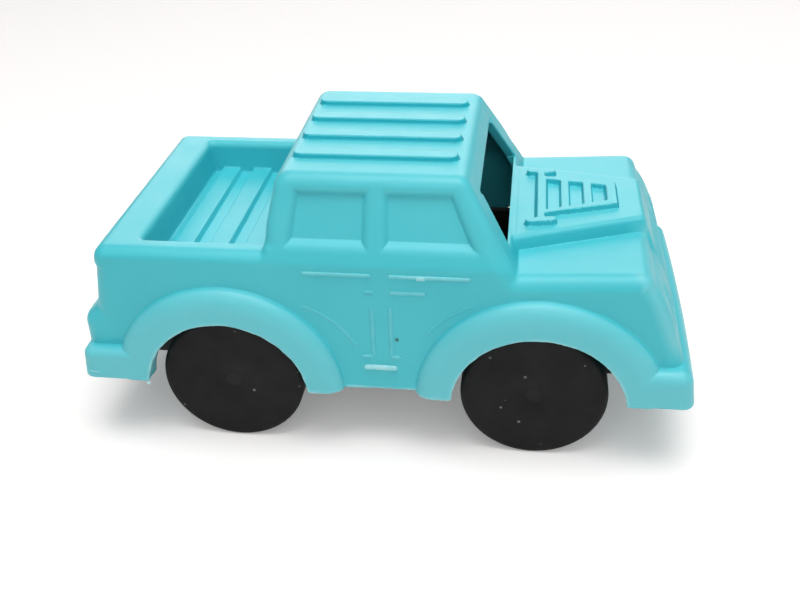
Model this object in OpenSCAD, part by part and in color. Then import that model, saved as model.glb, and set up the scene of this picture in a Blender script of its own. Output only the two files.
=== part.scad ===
// Small toy pickup truck. A thin moulded body, open below, stands on a floor pan.
// The pan carries two axles, and each axle has a wheel pressed on at both ends.
// X points forward, Y to the left side, Z up; the truck stands on Z = 0.

/* [Wheels and axles] */
// Distance between the two axles
wheelbase = 37.8; // [35:0.1:44]
// Diameter of a wheel
wheel_d = 18; // [15:0.1:19]
// Width of a wheel
wheel_w = 4.2; // [3.2:0.1:4.6]
// Thickness of a wheel's disc and rim
wheel_wall = 1.4; // [1:0.1:2]
// Diameter of the hub inside a wheel
hub_d = 5; // [4.2:0.1:8]
// Rounding of a wheel's outer edge
wheel_edge = 0.5; // [0.2:0.05:0.9]
// Diameter of the dimple round the axle's end
dimple_d = 2.9; // [2.5:0.1:3.8]
// Depth of that dimple
dimple_deep = 0.3; // [0.1:0.05:0.6]
// Diameter of an axle
axle_d = 2; // [1.6:0.05:2.3]
// Gap round an axle in its bearing
axle_fit = 0.06; // [0.03:0.01:0.1]
// How much smaller a wheel's bore is than the axle, on the radius
wheel_press = 0.01; // [0:0.005:0.03]

/* [Body] */
// Width across the doors
body_w = 35.2; // [34:0.1:40]
// Thickness of the moulded wall
wall = 1.3; // [1:0.05:1.5]
// Rounding of the body's edges
edge_r = 1.9; // [1.6:0.05:2.4]
// Height of the skirt's lower edge
skirt_z = 9.05; // [8.4:0.05:10]
// Rear axle to the back of the rear bumper
rear_overhang = 19.1; // [18.6:0.1:24]
// Front axle to the front of the front bumper
front_overhang = 19.3; // [19:0.1:23]
// How far the arch lips and bumpers stand out from the doors
lip_proud = 1.7; // [0.8:0.1:2.4]
// Width of an arch lip, from the opening to the door
lip_w = 4.4; // [3.6:0.1:5.4]
// Gap between a wheel and its arch, on the radius
arch_gap = 1.3; // [1.1:0.05:1.6]
// How far the arch's centre lies below the axle
arch_drop = 0.9; // [0.2:0.05:1]
// How far the arch's centre lies from the axle towards its bumper
arch_lead = 0.2; // [0:0.05:0.4]
// How far the arch lips reach below the skirt
lip_drop = 0.2; // [0:0.05:0.6]

/* [Bed] */
// Height of the bed's rim
bed_z = 27.4; // [26.4:0.1:29]
// Depth of the bed below its rim
bed_deep = 4.6; // [3.6:0.1:5]
// Width of the rim along each side
bed_side_rim = 3.4; // [3:0.1:5]
// Width of the rim at the tailgate
bed_rear_rim = 5.6; // [3.5:0.1:6.5]
// Height of the slats on the bed's floor
slat_h = 0.7; // [0.3:0.05:1]
// Width of a slat
slat_w = 2.8; // [1.6:0.1:3.2]
// Tailgate to the first slat
slat_gap = 1.2; // [0.6:0.1:2]
// Distance from one slat to the next
slat_pitch = 4.6; // [4:0.1:6]
// Lean of the tailgate over its height
tail_lean = 1; // [0.4:0.1:2]
// How far the tail's lower half steps back
tail_step = 2.5; // [1:0.1:2.8]
// Height of the shoulder where the tail steps back
shoulder_z = 19; // [18:0.1:21]
// How far the rear bumper stands out behind the tail
rear_bumper_out = 0.2; // [0.1:0.1:2]
// Lower edge of the rear bumper
rear_bumper_z = 9.3; // [8.4:0.1:9.8]
// Height of the rear bumper
rear_bumper_h = 4.3; // [3.6:0.1:5.6]

/* [Cab] */
// Rear axle to the back of the cab
cab_back = 5.1; // [4.8:0.1:8]
// Length of the cab at the fenders
cab_l = 31; // [29.4:0.1:32]
// Height of the roof
roof_z = 36.1; // [34.6:0.1:39]
// Height of the window sills
sill_z = 27.9; // [27.3:0.1:29]
// Width across the roof
roof_w = 28.6; // [26:0.1:30]
// How far the roof's back lies ahead of the cab's back
roof_back = 1.7; // [0.6:0.1:3]
// Length of the roof
roof_l = 23; // [20.6:0.1:24]
// Windscreen opening: width along its upper edge
screen_top_w = 21.4; // [16:0.1:23]
// Windscreen opening: width along its lower edge
screen_low_w = 25.1; // [20:0.1:26]
// Roof to the upper edge of the windscreen opening
screen_drop = 2.8; // [2.2:0.1:4]
// Depth of the side windows' recess
window_deep = 0.6; // [0.4:0.05:1.1]
// Width of the post between the side windows
window_post = 2.2; // [1.8:0.1:4]
// Width of a roof rib
rib_w = 2; // [1.4:0.1:3]
// Height of a roof rib
rib_h = 0.5; // [0.3:0.05:1]
// Distance from one roof rib to the next
rib_pitch = 5.6; // [4:0.1:6.2]

/* [Hood and front] */
// Height of the fenders at the windscreen
fender_z = 25.3; // [24.6:0.1:26.2]
// How much higher the fenders are at the front
fender_rise = 0.8; // [0:0.1:1.2]
// Height of the hood at the windscreen
hood_z = 26.9; // [26.5:0.1:28]
// How much higher the hood is at its front
hood_rise = 0.9; // [0.4:0.1:1.6]
// Width of the hood's top at the windscreen
hood_rear_w = 22.2; // [18:0.1:24]
// Width of the hood's top at the front
hood_front_w = 11.6; // [10:0.1:18]
// How far the hood's sides spread down to the fenders
hood_spread = 1.2; // [0.8:0.1:2.6]
// How far the front's upper edge lies behind the bumper
front_lean = 6.1; // [4:0.1:7]
// How far the front bumper stands out ahead of the front
front_bumper_out = 2.2; // [1:0.1:2.6]
// How far the front bumper bows forward at its middle
bumper_bow = 0.4; // [0:0.1:1.6]
// How far the front bumper's upper edge leans back
bumper_lean = 0.8; // [0:0.1:1]
// Lower edge of the front bumper
front_bumper_z = 9.3; // [8.6:0.1:10]
// Height of the front bumper
front_bumper_h = 5.8; // [4:0.1:6]
// Height of the vent's frame on the hood
vent_h = 0.6; // [0.3:0.05:1]
// Number of slots in the vent
vent_slots = 3; // [2:1:3]
// How far the grille bars and lamps stand out
relief = 0.3; // [0.2:0.05:0.8]
// Height of the line along the doors
belt_z = 25.3; // [24.6:0.1:25.4]
// Width and height of the lines on the doors
line_w = 0.3; // [0.2:0.05:0.4]

/* [Floor pan] */
// Thickness of the floor pan
pan_t = 1.5; // [1:0.1:2]
// Height of the pan's lower face above the axle
pan_rise = 0.7; // [0.4:0.05:1.2]
// Gap between the pan and the body or a wheel
pan_gap = 0.4; // [0.3:0.05:0.8]
// How far the pan's guards stand above the wheels
guard_rise = 1; // [0.2:0.1:1.4]
// Thickness of the guards
guard_t = 1; // [0.8:0.1:1.4]
// Length of a bearing block along the truck
block_l = 5; // [4:0.1:6]
// Width of a bearing block
block_w = 4; // [3:0.1:5]
// Diameter of the posts that hold the pan
post_d = 4.4; // [3.6:0.1:5]
// Diameter of the pins at the posts' ends
pin_d = 2.4; // [1.8:0.1:2.8]
// Gap round a pin, on the radius
pin_fit = 0.05; // [0.02:0.01:0.1]
// Distance between a pair of posts, across the truck
post_pitch = 14; // [11:0.1:16]

/* [Hidden] */
turquoise = [0.33, 0.80, 0.85];
black = [0.10, 0.10, 0.10];
tiny = 0.01;
deep = 12; // depth by which an open form runs on below the skirt
ball_fn = 16;
arch_fn = 64;

// The middle of the whole length is X = 0, and the axles follow from the overhangs
rear_axle_x = rear_overhang - (rear_overhang + wheelbase + front_overhang) / 2;
front_axle_x = rear_axle_x + wheelbase;
back_x = rear_axle_x - rear_overhang;
front_x = front_axle_x + front_overhang;
axle_z = wheel_d / 2;
side_y = body_w / 2;
lip_y = side_y + lip_proud;
low_z = skirt_z - deep;

// Tail, from the rim down to the bumper
tail_low_x = back_x + rear_bumper_out;
tail_mid_x = tail_low_x + tail_step;
tail_top_x = tail_mid_x + tail_lean;
tail_bend_z = shoulder_z - tail_step * 1.1;
bed_x0 = tail_top_x + bed_rear_rim;
bed_floor_z = bed_z - bed_deep;
bed_y = side_y - bed_side_rim;

// Cab
cab_x0 = rear_axle_x + cab_back;
cab_x1 = cab_x0 + cab_l;
roof_x0 = cab_x0 + roof_back;
roof_x1 = roof_x0 + roof_l;
roof_y = roof_w / 2;
screen_z0 = hood_z + hood_rise / 6 + 5 * tiny;
screen_z1 = roof_z - screen_drop;
pillar_run = (cab_x1 - roof_x1) / (roof_z - fender_z);
function screen_x(z) =
  roof_x1 - edge_r + (roof_z - edge_r - z) * pillar_run + edge_r * sqrt(1 + pillar_run * pillar_run);

// Side windows: their edges measured from the sills, the roof and the ends of the cab
mid_x = (rear_axle_x + front_axle_x) / 2;
window_sill = 0.4;
window_top = 0.85 * edge_r;
window_corner = 0.6;
rear_margin = 3.2;
front_margin = 2.4;

// Front
nose_low_x = front_x - front_bumper_out;
nose_top_x = front_x - front_lean;
nose_run = (nose_low_x - nose_top_x) / (fender_z + fender_rise - front_bumper_z - front_bumper_h);
hood_back = nose_run * (hood_z + hood_rise - fender_z - fender_rise);

// Bumpers
bumper_edge = 1.2;
bumper_reach = 8.7;

// Arches
arch_r = wheel_d / 2 + arch_gap;
arch_z = axle_z - arch_drop;
rear_arch_x = rear_axle_x - arch_lead;
front_arch_x = front_axle_x + arch_lead;
lip_z = skirt_z - lip_drop;

// Floor pan
pan_z = axle_z + pan_rise;
pan_y = side_y - wheel_w - pan_gap;
pan_mid_y = side_y - wall - 3 * pan_gap;
pan_x0 = tail_low_x + wall + 2 * pan_gap + edge_r;
pan_x1 = nose_low_x - wall - 2 * pan_gap - edge_r;
pan_mid_x0 = rear_axle_x + arch_r + lip_w / 2;
pan_mid_x1 = front_axle_x - arch_r - lip_w / 2;
guard_z = min(wheel_d + guard_rise, bed_floor_z - wall - pan_gap);
guard_half = wheel_d / 2 + 0.8;
post_gap = 1.6;
rear_post_x = rear_axle_x - (block_l + post_d) / 2 - post_gap;
front_post_x = front_axle_x + (block_l + post_d) / 2 + post_gap;

module ball(p, r) {
  translate(p) sphere(r, $fn = ball_fn);
}

// Hull of balls round a side view's points [x, z], at both ends of its width
module form(points, half_w, r) {
  hull() for (p = points, side = [-1, 1]) ball([p[0], side * half_w, p[1]], r);
}

// Bed, doors and rocker in one, from the tail to the windscreen's foot
module tub(r) {
  e = edge_r;
  form([
    [tail_top_x + e, bed_z - e], [tail_mid_x + e, shoulder_z], [tail_mid_x + e, low_z],
    [roof_x1 - 2 * e, bed_z - e], [cab_x1 - e, fender_z - 2 * e], [cab_x1 - e, low_z]
  ], side_y - e, r);
}

// Lower half of the tail, which steps back below the shoulder
module tail(r) {
  e = edge_r;
  form([
    [tail_mid_x + e, shoulder_z - e / 2], [tail_low_x + e + 0.4, tail_bend_z], [tail_low_x + e, low_z],
    [bed_x0, shoulder_z - e / 2], [bed_x0, low_z]
  ], side_y - e, r);
}

// Fenders and front, leaning back from the bumper to the hood
module nose(r) {
  e = edge_r;
  bow = bumper_bow / 2;
  low = front_bumper_z + front_bumper_h;
  hull() {
    for (side = [-1, 1]) {
      ball([cab_x1 - 2 * e, side * (side_y - e), fender_z - e], r);
      ball([cab_x1 - 2 * e, side * (side_y - e), low_z], r);
    }
    for (t = [-1:0.5:1]) {
      x = bow * (1 - t * t) - bow;
      y = t * (side_y - e);
      ball([nose_top_x - e + x, y, fender_z + fender_rise - e], r);
      ball([nose_low_x - e + x, y, low], r);
      ball([nose_low_x - e + x + 0.4, y, low_z], r);
    }
  }
}

// Cab above the fenders: upright to the sills, then narrowing to the roof
module cab(r) {
  e = edge_r;
  sill_front = roof_x1 - e + (roof_z - sill_z) * pillar_run;
  hull() for (side = [-1, 1]) {
    for (x = [cab_x0 + e, cab_x1 - e]) ball([x, side * (side_y - e), fender_z - e], r);
    for (x = [cab_x0 + e, sill_front]) ball([x, side * (side_y - e), sill_z - e], r);
    for (x = [roof_x0 + e, roof_x1 - e]) ball([x, side * (roof_y - e), roof_z - e], r);
  }
}

// Raised middle of the hood, drawn in by inset for its inside
module hood(inset = 0) {
  e = 0.9;
  rear_y = hood_rear_w / 2 - inset - e;
  front_y = hood_front_w / 2 - inset - e;
  x0 = cab_x1 - 2 * edge_r;
  x1 = nose_top_x - hood_back - inset - e;
  hull() for (side = [-1, 1]) {
    ball([x0, side * rear_y, hood_z - inset - e], e);
    ball([x1, side * front_y, hood_z + hood_rise - inset - e], e);
    ball([x0, side * (rear_y + hood_spread), fender_z - edge_r], e);
    ball([x1 + hood_back + 0.8, side * (front_y + hood_spread), fender_z - edge_r], e);
  }
}

// Whole body form, swollen by r round its skeleton, cut off at the height z
module body_form(r, z) {
  intersection() {
    union() {
      tub(r);
      tail(r);
      nose(r);
      cab(r);
      hood(edge_r - r);
    }
    translate([-100, -100, z]) cube(200);
  }
}

// Rounded lip of one arch on the left side: a ring with a soft outer edge.
// Its end beside the bumper stops at the bumper's lower edge, bumper_z; dir points to that bumper
module arch_lip(x, dir, bumper_z) {
  flat = lip_w * 0.58;
  steps = 6;
  edge = [
    for (i = [0:steps]) let (a = 90 * i / steps)
      [arch_r + flat + (lip_w - flat) * sin(a), side_y - tiny + lip_proud * cos(a)]
  ];
  intersection() {
    translate([x, 0, arch_z]) rotate([-90, 0, 0]) rotate_extrude($fn = arch_fn)
      polygon(concat([[arch_r - 0.4, side_y - wall], [arch_r - 0.4, lip_y]], edge,
        [[arch_r + lip_w, side_y - wall]]));
    union() {
      translate([x - 50, 0, max(lip_z, bumper_z)]) cube([100, 50, 50]);
      translate([x - (dir > 0 ? 50 : 0), 0, lip_z]) cube([50, 50, 50]);
      translate([x - (dir > 0 ? 0 : 50), 0, bumper_z]) cube([50, 50, 50]);
    }
  }
}

// Bumper band across one end; bow pushes its middle outwards, lean draws its upper edge in
module bumper(x_end, dir, z, h, bow, lean) {
  e = bumper_edge;
  hull() for (level = [[z + e, 0], [z + h - e, lean]]) {
    for (t = [-1:0.5:1])
      ball([x_end - dir * (e + level[1] + bow * t * t), t * (lip_y - e), level[0]], e);
    for (side = [-1, 1])
      ball([x_end - dir * bumper_reach, side * (lip_y - e), level[0]], e);
  }
}

// Outline of one side window: the rear one leans a little, the front one leans with the pillar
module window_outline(which, grow) {
  low = sill_z + window_sill;
  high = roof_z - window_top;
  half_post = window_post / 2;
  back_run = roof_back / (roof_z - sill_z);
  rear = [
    [cab_x0 + rear_margin, low], [mid_x - half_post, low],
    [mid_x - half_post, high], [cab_x0 + rear_margin + back_run * (high - low), high]
  ];
  front = [
    [mid_x + half_post, low], [screen_x(low) - front_margin, low],
    [screen_x(high) - front_margin, high], [mid_x + half_post, high]
  ];
  offset(r = grow + window_corner, $fn = 20) offset(delta = -window_corner)
    polygon(which == "rear" ? rear : front);
}

// What a side window takes out of the right side, down to the given depth
module window_cut(which, depth, grow = 0) {
  difference() {
    translate([0, tiny, 0]) rotate([90, 0, 0]) linear_extrude(side_y) window_outline(which, grow);
    translate([0, depth, 0]) cab(edge_r);
  }
}

module on_both_sides() {
  children();
  mirror([0, 1, 0]) children();
}

// Opening of the windscreen, cut straight back into the cab and down to the hood's rear edge
module screen_cut() {
  jog = 0.4;
  back = 4;
  top = screen_top_w / 2;
  low = screen_low_w / 2;
  half = [
    [low + jog, screen_z0], [low + jog, screen_z0 + jog], [low, screen_z0 + jog], [top, screen_z1 - jog],
    [top + jog, screen_z1 - jog], [top + jog, screen_z1]
  ];
  outline = concat(half, reversed([for (p = half) [-p[0], p[1]]]));
  cowl_x = screen_x(hood_z) - jog;
  length = cowl_x + 2 * jog - roof_x1 + back;
  translate([roof_x1 - back, 0, 0]) rotate([90, 0, 90]) linear_extrude(length) polygon(outline);
  translate([cowl_x - 2 * back, -low, fender_z - edge_r])
    cube([2 * back, 2 * low, screen_z0 - fender_z + edge_r + tiny]);
}

// Hollow inside of the body, with the bed and the window recesses left standing in it
module cavity() {
  difference() {
    body_form(edge_r - wall, low_z + edge_r);
    translate([bed_x0 - wall, -bed_y - wall, bed_floor_z - wall])
      cube([cab_x0 + wall - bed_x0 + wall, 2 * (bed_y + wall), 40]);
    for (which = ["rear", "front"])
      on_both_sides() window_cut(which, window_deep + wall, wall);
  }
}

// Thin raised lines on the right door: belts, handles, shut lines, step and the arcs of the doors
module door_lines() {
  t = line_w;
  handle_z = belt_z - 2.2;
  foot_z = belt_z - 11.4;
  shut_h = 7;
  step_l = 4.2;
  step_h = 0.7;
  step_drop = 2;
  // Level lines: from X, to X, height
  lines = [
    [-8.7, -0.4, belt_z], [1.5, 11.1, belt_z], [-1.5, -0.3, handle_z], [1.6, 5.9, handle_z],
    [-2.1, -0.6, foot_z], [1.5, 2.8, foot_z]
  ];
  // Arcs: centre X, radius, from X, length along X
  arcs = [[-12.3, 10.8, -9, 6.8], [15.8, 12.2, 5.6, 6.2]];
  arc_z = foot_z - 3.4;
  arc_low = foot_z + 1;
  translate([mid_x, -side_y - t, 0]) {
    for (l = lines) translate([l[0], 0, l[2] - t / 2]) cube([l[1] - l[0], 2 * t, t]);
    for (x = [-0.6, 1.6]) translate([x - t / 2, 0, foot_z]) cube([t, 2 * t, shut_h]);
    translate([0.2 - step_l / 2, 0, foot_z - step_drop]) cube([step_l, 2 * t, step_h]);
    for (a = arcs) intersection() {
      translate([a[0], 2 * t, arc_z]) rotate([90, 0, 0]) difference() {
        cylinder(h = 2 * t, r = a[1], $fn = arch_fn);
        translate([0, 0, -t]) cylinder(h = 4 * t, r = a[1] - t, $fn = arch_fn);
      }
      translate([a[2], -t, arc_low]) cube([a[3], 4 * t, shut_h]);
    }
  }
}

// Frame of the hood's vent seen from above: a cross bar with end caps, then a ladder of slots
module vent_outline() {
  bar_x = cab_x1 + 1.3;
  bar_w = 1.2;
  bar_y = 6.4;
  cap_y = 7;
  cap_l = 1.3;
  cap_r = 0.6;
  cap_toe = 0.25;
  frame_y = [5.4, 3.6];
  slot_pitch = 2.8;
  slot_w = 1.6;
  slot_y = 4;
  slot_taper = 0.95;
  edge = 0.4;
  length = vent_slots * slot_pitch + bar_w + edge / 2;
  translate([bar_x, -bar_y]) square([bar_w, 2 * bar_y]);
  for (side = [-1, 1]) translate([bar_x + bar_w / 2, side * cap_y]) hull() {
    translate([-cap_l, 0]) circle(cap_r, $fn = 16);
    translate([cap_l, -side * cap_toe]) circle(cap_r, $fn = 16);
  }
  difference() {
    polygon([
      [bar_x + bar_w / 2, -frame_y[0]], [bar_x + length, -frame_y[1]],
      [bar_x + length, frame_y[1]], [bar_x + bar_w / 2, frame_y[0]]
    ]);
    for (i = [0:vent_slots - 1]) {
      x = bar_x + bar_w + edge / 2 + i * slot_pitch;
      y = slot_y - i * slot_taper;
      polygon([[x, -y], [x + slot_w, -y + edge], [x + slot_w, y - edge], [x, y]]);
    }
  }
}

// Grille bars and round lamps that stand out a little from the leaning front
module front_relief() {
  low = front_bumper_z + front_bumper_h - relief;
  high = fender_z + fender_rise - edge_r - relief;
  bar_w = 0.8;
  bar_pitch = 1.7;
  bars = 8;
  lamp_r = 2.6;
  lamp_y = side_y - edge_r - lamp_r - 1;
  lamp_z = (low + high) / 2;
  reach = 20;
  intersection() {
    translate([nose_top_x - reach / 4, 0, 0]) {
      for (i = [0:bars - 1]) translate([0, (i - (bars - 1) / 2) * bar_pitch - bar_w / 2, low])
        cube([reach, bar_w, high - low]);
      for (side = [-1, 1]) translate([0, side * lamp_y, lamp_z]) rotate([0, 90, 0])
        cylinder(h = reach, r = lamp_r, $fn = 32);
    }
    translate([relief, 0, 0]) nose(edge_r);
  }
}

// Ribs along the roof with round ends
module roof_ribs() {
  from_x = roof_x0 + edge_r + 0.5;
  to_x = roof_x1 - edge_r - rib_w / 2;
  root = wall / 2;
  for (i = [-1.5:1.5]) translate([0, i * rib_pitch, roof_z - root]) linear_extrude(root + rib_h)
    hull() for (x = [from_x, to_x]) translate([x, 0]) circle(d = rib_w, $fn = 20);
}

// Slats across the bed's floor, as many as there is room for
module bed_slats() {
  from_x = bed_x0 + slat_gap;
  slats = floor((cab_x0 - from_x - slat_w) / slat_pitch);
  for (i = [0:slats]) translate([from_x + i * slat_pitch, -bed_y - tiny, bed_floor_z - tiny])
    cube([slat_w, 2 * (bed_y + tiny), slat_h + tiny]);
}

// A post under the body with a pin that goes through the floor pan
module post(x, y, top_z) {
  translate([x, y, pan_z + pan_t]) cylinder(h = top_z - pan_z - pan_t, d = post_d, $fn = 24);
  translate([x, y, pan_z]) cylinder(h = pan_t + tiny, d = pin_d, $fn = 24);
}

module body_shell() {
  color(turquoise) {
    difference() {
      union() {
        body_form(edge_r, skirt_z);
        bumper(back_x, -1, rear_bumper_z, rear_bumper_h, 0, 0);
        bumper(front_x, 1, front_bumper_z, front_bumper_h, bumper_bow, bumper_lean);
        on_both_sides() {
          arch_lip(rear_arch_x, -1, rear_bumper_z);
          arch_lip(front_arch_x, 1, front_bumper_z);
          door_lines();
        }
        roof_ribs();
        intersection() {
          translate([0, 0, hood_z - 2]) linear_extrude(8) vent_outline();
          translate([0, 0, vent_h]) hood();
        }
        front_relief();
      }
      cavity();
      translate([bed_x0, -bed_y, bed_floor_z]) cube([cab_x0 - bed_x0, 2 * bed_y, 40]);
      for (x = [rear_arch_x, front_arch_x]) translate([x, -50, arch_z]) rotate([-90, 0, 0])
        cylinder(h = 100, r = arch_r, $fn = arch_fn);
      for (which = ["rear", "front"])
        on_both_sides() window_cut(which, window_deep);
      screen_cut();
    }
    bed_slats();
    for (side = [-1, 1]) {
      post(rear_post_x, side * post_pitch / 2, bed_floor_z - wall / 2);
      post(front_post_x, side * post_pitch / 2, fender_z + fender_rise / 2 - wall / 2);
    }
  }
}

// Half outline of the floor pan: wide between the wheels, narrow beside them
function pan_half(side) = [
  [pan_x0, side * pan_y], [pan_mid_x0 - 1.5, side * pan_y], [pan_mid_x0, side * pan_mid_y],
  [pan_mid_x1, side * pan_mid_y], [pan_mid_x1 + 1.5, side * pan_y], [pan_x1, side * pan_y]
];
function reversed(list) = [for (i = [len(list) - 1:-1:0]) list[i]];

// Plate with bearing blocks under it and an upright guard beside each wheel
module floor_pan() {
  block_wall = 1.2;
  block_z = axle_z - axle_d / 2 - block_wall;
  mouth = axle_d * 0.84;
  color(black) difference() {
    union() {
      translate([0, 0, pan_z]) linear_extrude(pan_t)
        polygon(concat(pan_half(1), reversed(pan_half(-1))));
      for (x = [rear_axle_x, front_axle_x], side = [-1, 1])
        translate([x - block_l / 2, side * (pan_y - block_w / 2) - block_w / 2, block_z])
          cube([block_l, block_w, pan_z + pan_t - block_z]);
      for (x = [rear_axle_x, front_axle_x], side = [-1, 1])
        translate([x - guard_half, side * (pan_y - guard_t / 2) - guard_t / 2, pan_z])
          cube([2 * guard_half, guard_t, guard_z - pan_z]);
    }
    for (x = [rear_axle_x, front_axle_x]) {
      translate([x, -50, axle_z]) rotate([-90, 0, 0])
        cylinder(h = 100, r = axle_d / 2 + axle_fit, $fn = 48);
      translate([x - mouth / 2, -50, block_z - 1]) cube([mouth, 100, axle_z - block_z + 1]);
    }
    for (x = [rear_post_x, front_post_x], side = [-1, 1])
      translate([x, side * post_pitch / 2, pan_z - 1])
        cylinder(h = pan_t + 2, r = pin_d / 2 + pin_fit, $fn = 32);
  }
}

module axle(x) {
  half = side_y - dimple_deep;
  color(black) translate([x, -half, axle_z]) rotate([-90, 0, 0])
    cylinder(h = 2 * half, d = axle_d, $fn = 48);
}

// A wheel turned about its bore, with its plain face outwards and its inside cored out
module wheel(x, side) {
  r = wheel_d / 2;
  bore = axle_d / 2 - wheel_press;
  steps = 4;
  edge = [
    for (i = [0:steps]) let (a = 90 * i / steps)
      [r - wheel_edge + wheel_edge * sin(a), wheel_w - wheel_edge + wheel_edge * cos(a)]
  ];
  profile = concat(
    [[bore, 0], [bore, wheel_w - dimple_deep],
     [dimple_d / 2, wheel_w - dimple_deep], [dimple_d / 2, wheel_w]],
    edge,
    [[r, 0], [r - wheel_wall, 0], [r - wheel_wall, wheel_w - wheel_wall],
     [hub_d / 2, wheel_w - wheel_wall], [hub_d / 2, 0]]
  );
  color(black) translate([x, side * (side_y - wheel_w), axle_z])
    mirror([0, side > 0 ? 0 : 1, 0]) rotate([-90, 0, 0]) rotate_extrude($fn = 96) polygon(profile);
}

module front_axle() axle(front_axle_x);
module rear_axle() axle(rear_axle_x);
module front_left_wheel() wheel(front_axle_x, 1);
module front_right_wheel() wheel(front_axle_x, -1);
module rear_left_wheel() wheel(rear_axle_x, 1);
module rear_right_wheel() wheel(rear_axle_x, -1);

body_shell();
floor_pan();
front_axle();
rear_axle();
front_left_wheel();
front_right_wheel();
rear_left_wheel();
rear_right_wheel();
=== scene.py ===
"""Looks of a small moulded toy pickup truck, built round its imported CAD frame.

Lengths inside the classes are millimetres in the part's frame: X forwards, Y to the left, Z up
from the floor. They become metres only where a mesh is written.
"""

import logging
import math
from dataclasses import dataclass, replace
from enum import Enum
from functools import reduce

import bpy
import numpy as np
from bpy.types import ID, Material, Mesh, NodeSocket as Socket, NodeTree, Object
from mathutils import Matrix, Vector


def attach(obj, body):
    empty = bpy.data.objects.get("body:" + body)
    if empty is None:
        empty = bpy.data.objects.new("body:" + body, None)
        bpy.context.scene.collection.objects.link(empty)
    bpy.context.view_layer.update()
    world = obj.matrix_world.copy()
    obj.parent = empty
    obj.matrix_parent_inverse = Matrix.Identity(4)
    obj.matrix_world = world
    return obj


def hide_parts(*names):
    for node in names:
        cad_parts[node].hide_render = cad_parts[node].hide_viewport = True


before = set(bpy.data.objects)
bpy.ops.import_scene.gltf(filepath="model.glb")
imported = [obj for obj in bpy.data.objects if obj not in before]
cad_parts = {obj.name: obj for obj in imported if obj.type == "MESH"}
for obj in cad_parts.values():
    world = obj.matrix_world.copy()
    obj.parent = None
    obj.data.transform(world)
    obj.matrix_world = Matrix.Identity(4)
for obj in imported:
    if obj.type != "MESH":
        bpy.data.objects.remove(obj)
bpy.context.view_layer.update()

MM = 0.001
Triple = tuple[float, float, float]
Pair = tuple[float, float]
Array = np.ndarray
log = logging.getLogger("truck")


class Body(Enum):
    """Bodies of the frame that a piece can ride on."""

    TRUCK = "truck"
    FRONT_WHEELS = "front_wheelset"
    REAR_WHEELS = "rear_wheelset"


class Slot(Enum):
    """Material slots of the record."""

    SHELL = "body_plastic"
    WHEEL = "wheel_plastic"


class Corner(Enum):
    """Where a wheel sits: the sign of its X and of its Y."""

    FRONT_LEFT = (1, 1)
    FRONT_RIGHT = (1, -1)
    REAR_LEFT = (-1, 1)
    REAR_RIGHT = (-1, -1)


def both(*fields: Array) -> Array:
    """Sharp intersection of signed fields, which are negative inside."""
    return reduce(np.maximum, fields)


def either(*fields: Array) -> Array:
    """Sharp union of signed fields."""
    return reduce(np.minimum, fields)


def meet(a: Array, b: Array, r: float, c: float | Array = 0.0) -> Array:
    """Intersection of two fields with its edge rounded by an arc.

    With p = a + r and q = b + r it is sqrt((p^2 + q^2 - 2 c p q) / (1 - c^2)) - r where p > c q
    and q > c p, and max(a, b) elsewhere.

    Args:
        a: Signed field, negative inside.
        b: Second signed field.
        r: Radius of the edge.
        c: Cosine of the angle between the two outward normals.

    Returns:
        The field of the intersection.
    """
    p, q = a + r, b + r
    corner = np.sqrt(np.maximum(p * p + q * q - 2 * c * p * q, 0) / (1 - c * c)) - r
    return np.where((p > c * q) & (q > c * p), corner, np.maximum(a, b))


def join(a: Array, b: Array, r: float, c: float | Array = 0.0) -> Array:
    """Union of two fields with a fillet of radius r in its inner corner; c is as in meet."""
    return -meet(-a, -b, r, c)


def edge(a: Array, b: Array, p: Pair, q: Pair) -> Array:
    """Signed distance to the line from p to q in the plane of a and b, positive on its right."""
    da, db = q[0] - p[0], q[1] - p[1]
    return ((a - p[0]) * db - (b - p[1]) * da) / math.hypot(da, db)


def outline(a: Array, b: Array, points: list[Pair], r: float = 0.0) -> Array:
    """Field of a convex outline whose points go anticlockwise, with round corners.

    Args:
        a: First coordinate.
        b: Second coordinate.
        points: Corners of the outline.
        r: Radius of the corners.

    Returns:
        The field of the outline.
    """
    made = edge(a, b, points[-1], points[0])
    for p, q in zip(points, points[1:]):
        made = meet(made, edge(a, b, p, q), r)
    return made


def capsule(a: Array, b: Array, p: Pair, q: Pair, r: float) -> Array:
    """Field of a stadium of radius r round the segment from p to q.

    Args:
        a: First coordinate.
        b: Second coordinate.
        p: One end of the segment.
        q: Its other end.
        r: Radius.

    Returns:
        The distance field.
    """
    da, db = q[0] - p[0], q[1] - p[1]
    t = np.clip(((a - p[0]) * da + (b - p[1]) * db) / (da * da + db * db), 0, 1)
    return np.hypot(a - p[0] - t * da, b - p[1] - t * db) - r


def rise(d: Array, width: float) -> Array:
    """Smooth step from 0 outside an outline to 1 inside it: 3t^2 - 2t^3, t = 1/2 - d / width."""
    t = np.clip(0.5 - d / width, 0, 1)
    return t * t * (3 - 2 * t)


def ramp(v: Array, start: float, width: float) -> Array:
    """Straight slope from 0 at its start to 1 a width further on, or back if it is negative."""
    return np.clip((v - start) / width, 0, 1)


def ridge(v: Array, half: float) -> Array:
    """Straight ridge: 1 where v is 0, and 0 where it is half a width or more away."""
    return np.clip(1 - np.abs(v) / half, 0, 1)


def add_node(
    tree: NodeTree, kind: str, out: str | int, inputs: dict[str | int, object], **choices: object
) -> Socket:
    """Adds a shader node.

    Args:
        tree: The material's tree.
        kind: Type of the node, without its prefix.
        out: Output to hand back.
        inputs: Sockets to link and values to set, by input.
        choices: The node's own properties.

    Returns:
        The output.
    """
    node = tree.nodes.new("ShaderNode" + kind)
    for name, value in choices.items():
        setattr(node, name, value)
    for key, value in inputs.items():
        if isinstance(value, Socket):
            tree.links.new(value, node.inputs[key])
        else:
            node.inputs[key].default_value = value
    return node.outputs[out]


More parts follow.
